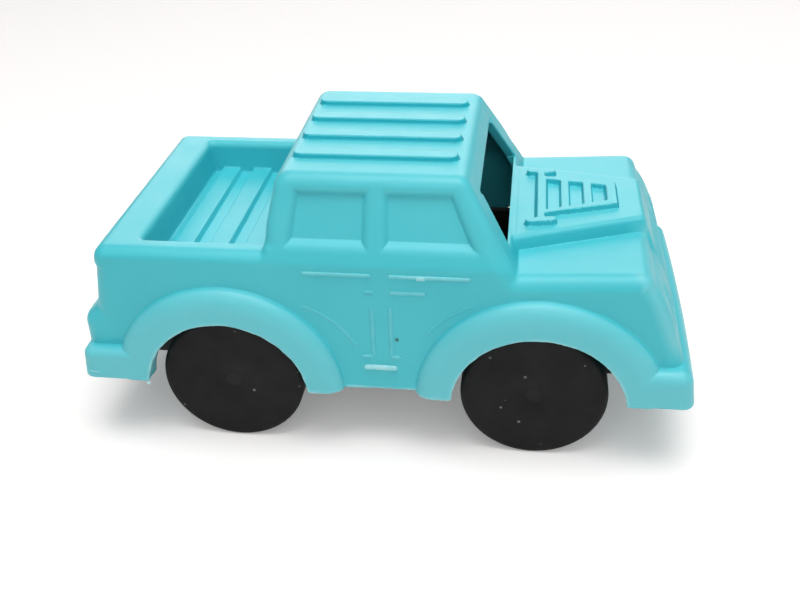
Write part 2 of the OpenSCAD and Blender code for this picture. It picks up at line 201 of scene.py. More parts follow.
@dataclass(frozen=True)
class Finish:
    """A moulded plastic: its colour drifts slowly, its skin has a fine grain and carries specks.

    Attributes:
        name: Name of the material.
        colour: Base colour, linear.
        drift: Second colour that slow noise mixes in.
        speck: Colour of the specks.
        pale_tint: Colour of wear on edges and of pale faces, whose paleness is partly painted highlight.
        deep: Colour of the painted shade on steep walls.
        soil: Colour of dirt.
        rough: Lowest and highest roughness.
        speck_cell: Size of the cells that hold one speck each, in mm.
        speck_r: Largest radius of a speck, in mm.
        speck_share: Share of the cells that hold one.
        grain: Height of the grain, in mm.
        shine: Level of the mirror reflection, 0.5 for plain plastic.
        ior: Refractive index.
        scales: Noise scales per mm of the drift, the wear, the roughness and the grain.
    """

    name: str
    colour: Triple
    drift: Triple
    speck: Triple
    pale_tint: Triple
    # A darker teal, painted as shade on steep walls where light hardly falls.
    deep: Triple = (0.005, 0.47, 0.57)
    soil: Triple = (0.04, 0.19, 0.2)
    rough: Pair = (0.38, 0.5)
    speck_cell: float = 6.0
    speck_r: float = 0.2
    speck_share: float = 0.2
    grain: float = 0.004
    shine: float = 0.5
    ior: float = 1.47
    scales: tuple[float, float, float, float] = (0.09, 0.6, 0.35, 3.0)

    def build(self) -> Material:
        """Builds the node tree on Object coordinates and the mesh's own attributes.

        Returns:
            The material.
        """
        material = bpy.data.materials.new(self.name)
        material.use_nodes = True
        tree = material.node_tree
        shader = tree.nodes["Principled BSDF"]
        spot = add_node(tree, "TexCoord", "Object", {})

        def noise(scale: float, detail: float) -> Socket:
            """Noise of a scale per mm."""
            return add_node(tree, "TexNoise", "Fac", {"Scale": scale / MM, "Detail": detail, "Vector": spot})

        def remap(value: Socket, a: float, b: float, lo: float, hi: float) -> Socket:
            """Takes the span from a to b to the span from lo to hi."""
            spans = {"Value": value, "From Min": a, "From Max": b, "To Min": lo, "To Max": hi}
            return add_node(tree, "MapRange", "Result", spans)

        def times(a: Socket, b: Socket) -> Socket:
            """Product of two values."""
            return add_node(tree, "Math", 0, {0: a, 1: b}, operation="MULTIPLY")

        def blend(share: Socket, under: Socket | tuple[float, ...], over: Triple) -> Socket:
            """Lays a colour over another by a share."""
            return add_node(tree, "Mix", 2, {"Factor": share, 6: under, 7: (*over, 1)}, data_type="RGBA")

        def value(name: str) -> Socket:
            """One of the mesh's attributes."""
            return add_node(tree, "Attribute", "Fac", {}, attribute_name=name)

        drift, wear, gloss, grain = self.scales
        colour = blend(remap(noise(drift, 3), 0.35, 0.65, 0, 1), (*self.colour, 1), self.drift)
        cells = {"Scale": 1 / (self.speck_cell * MM), "Vector": spot}
        away = add_node(tree, "TexVoronoi", "Distance", cells)
        pick = add_node(tree, "SeparateColor", 0, {"Color": away.node.outputs["Color"]})
        size = self.speck_r / self.speck_cell
        chosen = remap(pick, self.speck_share, 0, 0, 1)
        colour = blend(times(remap(away, size * 0.6, size, 1, 0), chosen), colour, self.speck)
        patchy = remap(noise(wear, 2), 0.3, 0.6, 0.35, 1)
        colour = blend(times(value("wear"), patchy), colour, self.pale_tint)
        # pale is partly wear and partly painted highlight and sheen; deep is painted shade on steep walls;
        # soil is dirt.
        for name, over in (("pale", self.pale_tint), ("deep", self.deep), ("soil", self.soil)):
            colour = blend(value(name), colour, over)
        bump = {"Distance": self.grain * MM, "Strength": 1.0, "Height": noise(grain, 2)}
        tree.links.new(colour, shader.inputs["Base Color"])
        tree.links.new(remap(noise(gloss, 4), 0.3, 0.7, *self.rough), shader.inputs["Roughness"])
        tree.links.new(add_node(tree, "Bump", "Normal", bump), shader.inputs["Normal"])
        shader.inputs["IOR"].default_value = self.ior
        shader.inputs["Specular IOR Level"].default_value = self.shine
        return material


# The pale colour below paints wear and also the highlight and sheen of the pale faces.
TURQUOISE = Finish(
    "turquoise_plastic", colour=(0.062, 0.59, 0.67), drift=(0.072, 0.615, 0.695), speck=(0.02, 0.36, 0.43),
    pale_tint=(0.55, 0.9, 0.93), rough=(0.36, 0.46), speck_cell=7.0, speck_share=0.4,
)
WHEEL_BLACK = Finish(
    "wheel_black", colour=(0.0055, 0.0055, 0.0057), drift=(0.0085, 0.0085, 0.0087), speck=(0.2, 0.2, 0.2),
    pale_tint=(0.06, 0.06, 0.06), rough=(0.55, 0.7), speck_cell=2.4, speck_r=0.24, speck_share=0.95, grain=0.006,
    shine=0.23,
)
PAN_BLACK = Finish(
    "pan_black", colour=(0.011, 0.011, 0.0115), drift=(0.015, 0.015, 0.0155), speck=(0.12, 0.12, 0.12),
    pale_tint=(0.08, 0.08, 0.08), rough=(0.5, 0.65), speck_cell=4.0, speck_r=0.15, speck_share=0.1, grain=0.006,
    shine=0.3,
)
AXLE_BLACK = replace(
    WHEEL_BLACK, name="axle_black", speck=(0.1, 0.1, 0.1), speck_cell=3.0, speck_r=0.1, speck_share=0.1,
    grain=0.004, shine=0.3,
)


@dataclass
class Surface:
    """A closed surface as whole arrays.

    Attributes:
        points: Corner places in mm, n by 3.
        faces: Corner numbers of the faces, m by 3 or m by 4, anticlockwise from outside.
    """

    points: Array
    faces: Array

    def mirrored(self) -> "Surface":
        """The surface on the other side of the truck, its faces turned to stay outward."""
        return Surface(self.points * (1, -1, 1), self.faces[:, ::-1])

    def mesh(self, name: str) -> Mesh:
        """Writes the surface as a smooth mesh in metres.

        Args:
            name: Name of the mesh.

        Returns:
            The mesh.
        """
        made = bpy.data.meshes.new(name)
        n, k = self.faces.shape
        made.vertices.add(len(self.points))
        made.vertices.foreach_set("co", (self.points * MM).astype(np.float32).ravel())
        made.loops.add(n * k)
        made.loops.foreach_set("vertex_index", self.faces.astype(np.int32).ravel())
        made.polygons.add(n)
        made.polygons.foreach_set("loop_start", np.arange(0, n * k, k, dtype=np.int32))
        made.update(calc_edges=True)
        made.validate()
        made.polygons.foreach_set("use_smooth", np.ones(len(made.polygons), dtype=bool))
        return made


def gather(parts: list[Surface]) -> Surface:
    """Puts surfaces of the same face size into one.

    Args:
        parts: The surfaces.

    Returns:
        All of them as one.
    """
    starts = np.cumsum([0] + [len(part.points) for part in parts])
    points = np.concatenate([part.points for part in parts])
    return Surface(points, np.concatenate([part.faces + start for part, start in zip(parts, starts)]))


def mark(mesh: Mesh, name: str, values: Array) -> None:
    """Writes one value for each point as an attribute that the finish reads."""
    made = mesh.attributes.new(name, "FLOAT", "POINT")
    made.data.foreach_set("value", values.astype(np.float32))


def put(name: str, data: ID) -> Object:
    """Links a new object with the given data into the scene."""
    made = bpy.data.objects.new(name, data)
    bpy.context.scene.collection.objects.link(made)
    return made


def place(mesh: Mesh, material: Material, body: Body, slot: Slot, *nodes: str) -> Object:
    """Puts a mesh into the scene as a piece that stands for CAD nodes.

    Args:
        mesh: The mesh, already in its place.
        material: Its material.
        body: The body that it rides on.
        slot: The record's material slot; not used.
        nodes: CAD nodes that it replaces.

    Returns:
        The object.
    """
    made = put(mesh.name, mesh)
    mesh.materials.append(material)
    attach(made, body.value)
    if nodes:
        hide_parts(*nodes)
    log.info("%s: %d faces on %s", mesh.name, len(mesh.polygons), body.value)
    return made


@dataclass(frozen=True)
class Sizes:
    """The truck's lengths in mm, as in its CAD source.

    Some shapes leave them a little: the front half of the front arch is drawn out as arch_drawn is
    to arch_round, and the nose, the lips and the bumpers have offsets of their own.
    """

    rear_axle: float = -19.0
    front_axle: float = 18.8
    mid: float = -0.1
    back: float = -38.1
    front: float = 38.1
    side: float = 17.6
    wall: float = 1.3
    soft: float = 1.9
    skirt: float = 9.05
    lip: float = 19.3
    lip_low: float = 8.85
    lip_w: float = 4.4
    arch_r: float = 10.3
    arch_z: float = 8.1
    arch_round: int = 15
    arch_drawn: int = 16
    rear_arch: float = -19.2
    front_arch: float = 19.0
    bed_z: float = 27.4
    bed_floor: float = 22.8
    bed_x: float = -28.8
    bed_y: float = 14.2
    cab_x0: float = -13.9
    cab_x1: float = 17.1
    roof_x0: float = -12.2
    roof_x1: float = 10.8
    roof_y: float = 14.3
    roof_z: float = 36.1
    sill: float = 27.9
    fender: float = 25.3
    fender_rise: float = 0.8
    hood_z: float = 26.9
    hood_rise: float = 0.9
    nose_top: float = 32.0
    nose_low: float = 35.9
    shoulder: float = 19.0
    tail_top: float = -34.4
    tail_mid: float = -35.4
    tail_low: float = -37.9
    bumper_z: float = 9.3
    rear_bumper_h: float = 4.3
    front_bumper_h: float = 5.8
    screen_z0: float = 27.1
    screen_z1: float = 33.3
    screen_low: float = 12.55
    screen_top: float = 10.7
    axle_z: float = 9.0
    wheel_r: float = 9.0
    wheel_w: float = 4.2


SIZES = Sizes()


@dataclass
class ShellField:
    """Signed field of the one-piece body at given places, negative in its plastic.

    The sides S(y, z) are a flat wall that leans in above the sills. The ends and tops T(x, y, z)
    are the rounded union of bed, cab, fenders, hood and tail. The outer form is F = meet(S, T),
    and the shell is the form with lips and bumpers, less F + wall, the arches and the windscreen.

    Attributes:
        x: Places along the truck.
        y: Distances from the middle plane.
        z: Heights.
    """

    x: Array
    y: Array
    z: Array

    @classmethod
    def at(cls, points: Array) -> "ShellField":
        """The field at points in mm, n by 3."""
        return cls(points[:, 0], np.abs(points[:, 1]), points[:, 2])

    def sides(self) -> Array:
        """Side wall, upright to the sills and leaning in above them.

        Returns:
            The field.
        """
        s, e = SIZES, SIZES.soft
        lean = edge(self.y, self.z, (s.side - e, s.sill - e), (s.roof_y - e, s.roof_z - e)) - e
        return meet(self.y - s.side, lean, r=2.5, c=0.928)

    def rear(self) -> Array:
        """Bed and tail: flat rim, leaning tailgate, a shoulder and the lower tail, less the bed.

        Returns:
            The field.
        """
        x, y, z, s, e = self.x, self.y, self.z, SIZES, SIZES.soft
        tub_end, tail_end, bend_in, bend_drop, run_on = 10, -20, 0.4, 2.75, 12
        slats_x, slat_half, slat_h, draft = (-26.2, -21.6, -17.0), 1.4, 0.7, 0.03
        gate = edge(x, z, (s.tail_top + e, s.bed_z - e), (s.tail_mid + e, s.shoulder)) - e
        tub = both(meet(z - s.bed_z, gate, r=1.6, c=0.219), x - tub_end)
        bend = (s.tail_low + e + bend_in, s.shoulder - bend_drop)
        slope = edge(x, z, (s.tail_mid + e, s.shoulder - e / 2), bend) - e
        low = edge(x, z, bend, (s.tail_low + e, s.skirt - run_on)) - e
        tail = both(meet(slope, low, e, c=0.647), z - s.shoulder, x - tail_end)
        slats = sum(rise(np.abs(x - middle) - slat_half, width=0.35) for middle in slats_x)
        lean = draft * (z - s.bed_floor)
        well = meet(s.bed_x - lean - x, y - s.bed_y - lean, r=0.4)
        well = meet(well, s.bed_floor + slat_h * slats - z, r=0.25)
        return meet(join(tub, tail, r=0.8, c=0.787), -well, r=0.9)

    def cab(self) -> Array:
        """Cab: roof, leaning rear wall and windscreen plane.

        Returns:
            The field.
        """
        x, z, s, e = self.x, self.z, SIZES, SIZES.soft
        rear = edge(x, z, (s.roof_x0 + e, s.roof_z - e), (s.cab_x0 + e, s.sill - e)) - e
        rear = meet(rear, s.cab_x0 - x, r=1.0)
        screen = edge(x, z, (s.cab_x1 - e, s.fender - e), (s.roof_x1 - e, s.roof_z - e)) - e
        return meet(meet(z - s.roof_z, rear, e, c=0.203), screen, e, c=0.503)

    def fenders(self) -> Array:
        """Height above the tops of the fenders, which rise forwards.

        Returns:
            The field.
        """
        s = SIZES
        x0, x1 = s.cab_x1 - 2 * s.soft, s.nose_top - s.soft
        return self.z - s.fender - s.fender_rise * (self.x - x0) / (x1 - x0)

    def face(self, x: Array) -> Array:
        """Plane of the front, which leans back.

        Args:
            x: Places along the truck, bowed or not.

        Returns:
            The field.
        """
        s, e = SIZES, SIZES.soft
        low, high = s.bumper_z + s.front_bumper_h, s.fender + s.fender_rise - e
        return edge(x, self.z, (s.nose_low - e, low), (s.nose_top - e, high)) - e

    def nose(self) -> Array:
        """Fenders and the front, a little bowed, which swells by 3.4 t^2 (1 - t) up its height.

        Returns:
            The field.
        """
        s, bow, swell, lead, start = SIZES, 0.2, 3.4, 0.4, 5
        bowed = self.x + bow * (self.y / s.side) ** 2
        low = s.bumper_z + s.front_bumper_h
        t = np.clip((self.z - low) / (s.fender + s.fender_rise - s.soft - low), 0, 1)
        face = self.face(bowed) - swell * t * t * (1 - t)
        face = meet(face, bowed - s.nose_low - lead, r=3.0, c=0.914)
        return both(meet(self.fenders(), face, r=1.7, c=0.37), start - self.x)

    def hood(self) -> Array:
        """Raised middle of the hood, narrowing forwards.

        Returns:
            The field.
        """
        x, y, z, s = self.x, self.y, self.z, SIZES
        e, back, spread, lead, foot = 0.9, 0.6, 1.2, 0.8, 22.2
        rear_y, front_y = 11.1 - e, 5.8 - e
        x0, x1 = s.cab_x1 - 2 * s.soft, s.nose_top - back - e
        z0, z1, base = s.hood_z - e, s.hood_z + s.hood_rise - e, s.fender - s.soft
        a = np.array((x0, rear_y, z0))
        turn = np.cross(np.array((x1, front_y, z1)) - a, np.array((x0, rear_y + spread, base)) - a)
        turn = turn / np.linalg.norm(turn)
        turn = turn if turn[1] > 0 else -turn
        flank = turn[0] * (x - a[0]) + turn[1] * (y - a[1]) + turn[2] * (z - a[2]) - e
        front = edge(x, z, (x1 + back + lead, base), (x1, z1)) - e
        top = z - s.hood_z - s.hood_rise * (x - x0) / (x1 - x0)
        form = meet(meet(flank, front, r=0.7, c=0.375), top, r=0.8, c=0.38)
        return both(form, x0 - x, foot - z)

    def windows(self) -> Array:
        """Depth of the two side windows: t^3, t the way in from the outline over the bevel, up to 1.

        Returns:
            Values from 0 outside to 1 on the panes.
        """
        low, high, bevel = 27.5, 35.2, 1.4
        rear = [(-11.7, low), (-0.4, low), (-0.25, high), (-10.4, high)]
        front = [(-0.05, low), (12.9, low), (9.3, high), (-0.15, high)]
        away = either(*(outline(self.x, self.z, window, r=0.9) for window in (rear, front)))
        return np.clip(-away / bevel, 0, 1) ** 3

    def ribs(self) -> Array:
        """Outline of the roof's four ribs from above.

        Returns:
            The field of the outline.
        """
        inner, outer, back, front = 2.8, 8.4, -9.8, 7.9
        across = either(np.abs(self.y - inner), np.abs(self.y - outer))
        return capsule(self.x, across, (back, 0), (front, 0), r=1.0)

    def vent(self) -> Array:
        """Outline of the hood's vent from above: cross bar, end caps and a ladder of slots.

        Returns:
            The field of the outline.
        """
        x, y = self.x, self.y
        bar_x, bar_w, bar_y, length = 18.1, 1.2, 6.4, 10
        slot_w, slot_y, gap, pitch, shrink, taper = 1.66, 4.2, 0.15, 2.8, 0.8, 0.5
        middle, end = bar_x + bar_w / 2, bar_x + length
        bar = both(np.abs(x - bar_x - bar_w / 2) - bar_w / 2, y - bar_y)
        cap = capsule(x, y, (bar_x - 0.7, 7.0), (bar_x + 1.9, 6.75), r=0.6)
        ladder = both(middle - x, x - end, edge(x, y, (end, 3.05), (middle, 5.35)))
        for i in range(3):
            x0, half = bar_x + bar_w + gap + pitch * i, slot_y - shrink * i
            side = edge(x, y, (x0 + slot_w, half - taper), (x0, half))
            ladder = both(ladder, -both(np.abs(x - x0 - slot_w / 2) - slot_w / 2, side))
        return either(bar, cap, ladder)

    def grille(self) -> Array:
        """Outlines on the front: eight bars and a round lamp on each side.

        Returns:
            The field of the outlines.
        """
        y, z, s = self.y, self.z, SIZES
        pitch, bar_half, width, lamp_y, lamp_r, lamp_hole = 1.7, 0.4, 6.6, 12.1, 2.6, 1.7
        above, below = 0.7, 0.6
        low, high = s.bumper_z + s.front_bumper_h + above, s.fender + s.fender_rise - s.soft - below
        bars = both(np.abs(np.mod(y, pitch) - pitch / 2) - bar_half, y - width, low - z, z - high)
        lamp = np.hypot(y - lamp_y, z - (low + high) / 2) - lamp_r
        return either(bars, both(lamp, lamp_hole - lamp - lamp_r))

    def reach(self, arch: float) -> Array:
        """Distance from an arch's centre, measured shorter in the half that is drawn out.

        Args:
            arch: X of the arch.

        Returns:
            The distance.
        """
        s, along = SIZES, self.x - arch
        along = np.where((along > 0) & (arch > 0), along * s.arch_round / s.arch_drawn, along)
        return np.hypot(along, self.z - s.arch_z)

    def lips(self) -> Array:
        """Both arch lips of a side: rings with a soft outer edge, cut level at their feet.

        Returns:
            The field.
        """
        x, y, z, s, slope, rings = self.x, self.y, self.z, SIZES, 0.7, []
        for arch, out in ((s.rear_arch, -1), (s.front_arch, 1)):
            foot = np.where(out * (x - arch) > 0, s.bumper_z, s.lip_low) - z
            roll = meet(slope * (self.reach(arch) - s.arch_r - s.lip_w), y - s.lip, r=1.75)
            rings.append(meet(both(roll, s.side - s.wall - y), foot, r=0.2))
        return either(*rings)

    def bumpers(self) -> Array:
        """Both bumper bands, which lean, and the front one is a little bowed.

        Returns:
            The field.
        """
        x, y, z, s = self.x, self.y, self.z, SIZES
        bow, front_lean, rear_lean, drop, deep = 0.4, 0.8, 0.45, 0.8, 8.7
        up = (z - s.bumper_z) / s.front_bumper_h
        front = x - s.front + bow * (y / s.lip) ** 2 + front_lean * np.clip(up, 0, 1)
        front = meet(meet(front, y - s.lip, r=1.4), z - s.bumper_z - s.front_bumper_h + drop, r=1.4)
        front = both(meet(front, s.bumper_z - z, r=0.5), s.front - deep - x)
        up = (z - s.bumper_z) / s.rear_bumper_h
        rear = meet(s.back - x + rear_lean * np.clip(up, 0, 1), y - s.lip, r=1.4)
        rear = meet(rear, z - s.bumper_z - s.rear_bumper_h, r=0.9)
        rear = both(meet(rear, s.bumper_z - z, r=0.5), x - s.back - deep)
        return either(front, rear)

    def windscreen(self) -> Array:
        """Space of the windscreen's opening, cut straight back, with a jog at its upper corners.

        Returns:
            The field.
        """
        x, y, z, s = self.x, self.y, self.z, SIZES
        jog, deep, ahead = 0.4, 4, 15.7
        sill_back, sill_front, sill_z, sill_half = 6.8, 14.85, 25.6, 1.7
        slant = edge(y, z, (s.screen_low, s.screen_z0 + jog), (s.screen_top, s.screen_z1 - jog))
        high = both(y - s.screen_top - jog, s.screen_z1 - jog - z)
        hole = both(s.screen_z0 - z, z - s.screen_z1, either(slant, high), s.roof_x1 - deep - x, x - ahead)
        sill = both(x - sill_front, sill_back - x, y - s.screen_low, np.abs(z - sill_z) - sill_half)
        return either(hole, sill)

    def posts(self) -> Array:
        """Posts under the body and the pins at their feet.

        Returns:
            The field.
        """
        x, y, z, s, made = self.x, self.y, self.z, SIZES, []
        post_x, post_y, post_r, post_low, sunk = 6.3, 7.0, 2.2, 11.2, 0.65
        pin_r, pin_low, pin_top = 1.2, 9.7, 12
        tops = (s.bed_floor, s.fender + s.fender_rise / 2)
        for axle, out, top in zip((s.rear_axle, s.front_axle), (-1, 1), tops):
            away = np.hypot(x - axle - out * post_x, y - post_y)
            made.append(both(away - post_r, post_low - z, z - top + sunk))
            made.append(both(away - pin_r, pin_low - z, z - pin_top))
        return either(*made)

    def shell(self) -> Array:
        """The whole body.

        The rim of the bed is crisper than the other edges, and the windows, ribs, vent and grille
        are raised or sunk only on the face that they belong to.

        Returns:
            The field.
        """
        x, y, z, s = self.x, self.y, self.z, SIZES
        window_deep, rib_h, vent_h, grille_h, crisp = 0.75, 0.58, 0.65, 0.16, 0.8
        rim_low, rim_high, rim_end, lean_z = 24.9, 28.1, 12, 29.5
        flank_y, ribs_z, vent_z, front_x = 9, 33, 25, 28
        tops = join(self.rear(), self.cab(), r=0.5, c=0.2)
        tops = join(tops, join(self.nose(), self.hood(), r=0.12, c=0.4), r=0.4, c=0.5)
        rim = rise(rim_low - z, width=1.2) * rise(z - rim_high, width=1.0) * rise(x - rim_end, width=4)
        form = meet(self.sides(), tops, s.soft - crisp * rim, c=0.373 * rise(lean_z - z, width=3))
        form = form + window_deep * self.windows() * (y > flank_y)
        hollow = form + s.wall
        form = form - rib_h * rise(self.ribs(), width=0.26) * (z > ribs_z)
        form = form - vent_h * rise(self.vent(), width=0.22) * (z > vent_z)
        form = form - grille_h * rise(self.grille(), width=0.5) * (x > front_x)
        body = meet(form, s.skirt - z, r=0.2)
        body = join(body, either(self.lips(), self.bumpers()), r=0.15)
        body = both(body, -hollow)
        for arch in (s.rear_arch, s.front_arch):
            body = meet(body, s.arch_r - self.reach(arch), r=0.2)
        body = meet(body, -self.windscreen(), r=0.2)
        return either(body, self.posts())


@dataclass
class LevelSurface:
    """Zero surface of a field sampled on a grid of one half, mirrored to the other.

    One point stands in each cell that the surface goes through, at the mean of its edge
    crossings p = a + (b - a) f(a) / (f(a) - f(b)); one face crosses each grid edge that changes
    sign.

    Attributes:
        step: Pitch of the grid in mm.
        low: Lowest X and Z of the grid; Y starts in the middle plane.
        high: Highest X, Y and Z.
    """

    step: float = 0.2
    low: Pair = (-38.7, 8.3)
    high: Triple = (38.7, 19.9, 37.2)

    def axes(self) -> tuple[Array, Array, Array]:
        """Grid lines of the half with Y from 0: X, Y and Z of the lines."""
        step, spans = self.step, zip((self.low[0], 0, self.low[1]), self.high)
        return tuple(np.arange(a, b + step, step, dtype=np.float32) for a, b in spans)

    def extract(self, values: Array) -> Surface:
        """Finds the zero surface.

        Args:
            values: Field on the half grid.

        Returns:
            The surface of the whole, in squares.
        """
        x, y, z = self.axes()
        f = np.concatenate([values[:, :0:-1], values], axis=1)
        start = np.array((x[0], -y[-1], z[0]))
        inside = f < 0
        nx, ny, nz = f.shape
        count = np.zeros((nx - 1, ny - 1, nz - 1), np.uint8)
        corners = [(i, j, k) for i in (0, 1) for j in (0, 1) for k in (0, 1)]
        for i, j, k in corners:
            count += inside[i:nx - 1 + i, j:ny - 1 + j, k:nz - 1 + k]
        cells = np.argwhere((count > 0) & (count < len(corners)))
        number = np.full(count.shape, -1, np.int32)
        number[tuple(cells.T)] = np.arange(len(cells))
        at = {c: f[cells[:, 0] + c[0], cells[:, 1] + c[1], cells[:, 2] + c[2]] for c in corners}
        total = np.zeros((len(cells), 3))
        crossings = np.zeros(len(cells))
        for c in corners:
            for axis in range(3):
                if c[axis]:
                    continue
                d = tuple(v + (i == axis) for i, v in enumerate(c))
                a, b = at[c], at[d]
                cut = (a < 0) != (b < 0)
                t = np.where(cut, a / np.where(cut, a - b, 1), 0)
                point = np.array(c, float) + np.eye(3)[axis] * t[:, None]
                total += np.where(cut[:, None], point, 0)
                crossings += cut
        points = start + self.step * (cells + total / crossings[:, None])
        faces = []
        for axis in range(3):
            u, v = (axis + 1) % 3, (axis + 2) % 3
            lo = np.take(inside, range(0, f.shape[axis] - 1), axis)
            hi = np.take(inside, range(1, f.shape[axis]), axis)
            found = np.argwhere(lo != hi)
            found = found[(found[:, u] > 0) & (found[:, v] > 0)
                          & (found[:, u] < f.shape[u] - 1) & (found[:, v] < f.shape[v] - 1)]
            out = lo[tuple(found.T)]
            ring = []
            for du, dv in ((1, 1), (0, 1), (0, 0), (1, 0)):
                cell = found.copy()
                cell[:, u] -= du
                cell[:, v] -= dv
                ring.append(number[tuple(cell.T)])
            quad = np.stack(ring, axis=1)
            faces.append(np.where(out[:, None], quad, quad[:, ::-1]))
        return Surface(points, np.concatenate(faces))


def unit(vectors: Array, least: float) -> Array:
    """Vectors, n by 3, over their lengths, or over a least length where they are shorter."""
    return vectors / np.maximum(np.linalg.norm(vectors, axis=1, keepdims=True), least)


@dataclass
class BodyShell:
    """The turquoise body: one hollow moulding with bed, cab, hood, lips and bumpers.

    Attributes:
        finish: Its finish.
        step: Pitch of the grid it is sampled on, in mm.
        most: Largest number of triangles.
    """

    finish: Finish = TURQUOISE
    step: float = 0.2
    most: int = 190000

    def wear(self, p: Array) -> Array:
        """How worn or flashed the skin is: the arches' edges and the lower edges.

        Args:
            p: Points in mm.

        Returns:
            Values from 0 to 1.
        """
        s, form, at_arch, at_foot = SIZES, ShellField.at(p), 0.4, 0.8
        rear, front = (form.reach(arch) - s.arch_r - 0.1 for arch in (s.rear_arch, s.front_arch))
        arches = np.maximum(ridge(rear, half=0.22), ridge(front, half=0.22)) * ramp(form.y, 18.5, 0.5)
        foot = ramp(form.z, s.lip_low + 0.42, -0.42) * ramp(form.y, 17.0, 0.4)
        return np.maximum(at_arch * arches, at_foot * foot)

    def pale(self, p: Array) -> Array:
        """How pale the skin is: partly wear, partly painted highlight on the outermost faces and the front's
        near edges, and faint painted sheen above 27 mm.

        Args:
            p: Points in mm.

        Returns:
            Values from 0 to 1.
        """
        s, form, at_front, at_faces, top_sheen = SIZES, ShellField.at(p), 0.2, 0.15, 0.04
        y, z, face, lid = form.y, form.z, form.face(form.x), form.fenders()
        # Front's near corner and fender brow: partly wear, partly painted highlight on the rounded edges.
        corner = ridge(y - s.side - face, half=1.7) * ramp(y, s.side - 2.2, 0.8)
        brow = ridge(lid - face, half=0.9) * ramp(lid, -2, 0.6)
        front = np.maximum(corner, brow) * ramp(face, -2.2, 0.8) * ramp(z, 15.2, 2)
        # Lips' rolls, outer faces and bumper ends: partly wear, partly painted highlight.
        ends = ramp(z, s.bumper_z + 6.5, -0.8) * ramp(np.abs(form.x), 36.2, 0.8)
        faces = np.maximum(ramp(y, 17.75, 0.5), ends)
        # The last, faint term is painted sheen over all above 27 mm.
        return np.maximum(np.maximum(at_front * front, at_faces * faces), top_sheen * ramp(z, 27, 2))

    def deep(self, p: Array, normals: Array) -> Array:
        """How much painted shade the skin gets: on the steep walls of the ribs, the vent and the hood.

        Args:
            p: Points in mm.
            normals: Their normals.

        Returns:
            Values from 0 to 1.
        """
        form, at_vent, at_hood = ShellField.at(p), 0.6, 0.65
        above = form.fenders()
        # Painted shade along the foot of the hood's flank.
        flank = ramp(above, 1.755, -1.3) * (form.y < 13) * (above > -0.4)
        flank *= ramp(form.x, 15.1, 0.8) * ramp(form.x, 30.4, -1.5)
        # Painted shade on the walls of the ribs, fainter on the vent's.
        walls = self.fine(p) * np.where(form.z > 30, 1, at_vent)
        return ramp(normals[:, 2], 0.92, -0.25) * np.maximum(walls, at_hood * flank)

    def fine(self, p: Array) -> Array:
        """Which points lie at the walls of the ribs and the vent.

        Args:
            p: Points in mm.

        Returns:
            True where they do.
        """
        form, near = ShellField.at(p), 0.5
        hood = (form.z > 26.4) & (form.z < 29) & (form.x > 16)
        ribs = (form.z > 35.6) & (np.abs(form.ribs()) < near)
        return ribs | (hood & (np.abs(form.vent()) < near))

    def settle(self, mesh: Mesh) -> tuple[Array, Array]:
        """Puts the points on the field's zero surface and shades them by its slope.

        A point p moves by -f g / |g|^2 twice, a tenth of a mm at most; its normal is the slope g
        over a short way to both sides. At a sharp edge, where that leaves the area-weighted mean
        of the faces, the mean is taken, so that large faces stay flat.

        Args:
            mesh: The mesh.

        Returns:
            The points in mm and their normals.
        """
        farthest, near, wide, agree = 0.1, 0.02, 0.07, 0.9

        def at(q: Array) -> Array:
            """The field at points."""
            return ShellField.at(q).shell()

        def slope(q: Array, way: float) -> Array:
            """Slope of the field at points, from a way to both sides of them."""
            return np.stack([at(q + d) - at(q - d) for d in way * np.eye(3)], axis=1) / (2 * way)

        co = np.empty(len(mesh.vertices) * 3, np.float32)
        mesh.vertices.foreach_get("co", co)
        p = co.reshape(-1, 3).astype(np.float64) / MM
        for _ in range(2):
            g = slope(p, near)
            move = at(p)[:, None] * g / np.maximum((g * g).sum(1, keepdims=True), 0.1)
            far = np.linalg.norm(move, axis=1, keepdims=True)
            p = p - move * np.minimum(1, farthest / np.maximum(far, 1e-9))
        normals = unit(slope(p, wide), 1e-9)
        tri = np.empty(len(mesh.loops), np.int32)
        mesh.loops.foreach_get("vertex_index", tri)
        tri = tri.reshape(-1, 3)
        turn = np.cross(p[tri[:, 1]] - p[tri[:, 0]], p[tri[:, 2]] - p[tri[:, 0]])
        turn *= np.linalg.norm(turn, axis=1, keepdims=True) ** 0.5
        mean = [np.bincount(tri.ravel(), np.repeat(turn[:, i], 3), len(p)) for i in range(3)]
        mean = unit(np.stack(mean, axis=1), 1e-12)
        normals = np.where(((mean * normals).sum(1) > agree)[:, None], normals, mean)
        mesh.vertices.foreach_set("co", (p * MM).astype(np.float32).ravel())
        mesh.update()
        mesh.normals_split_custom_set_from_vertices(normals.tolist())
        return p, normals

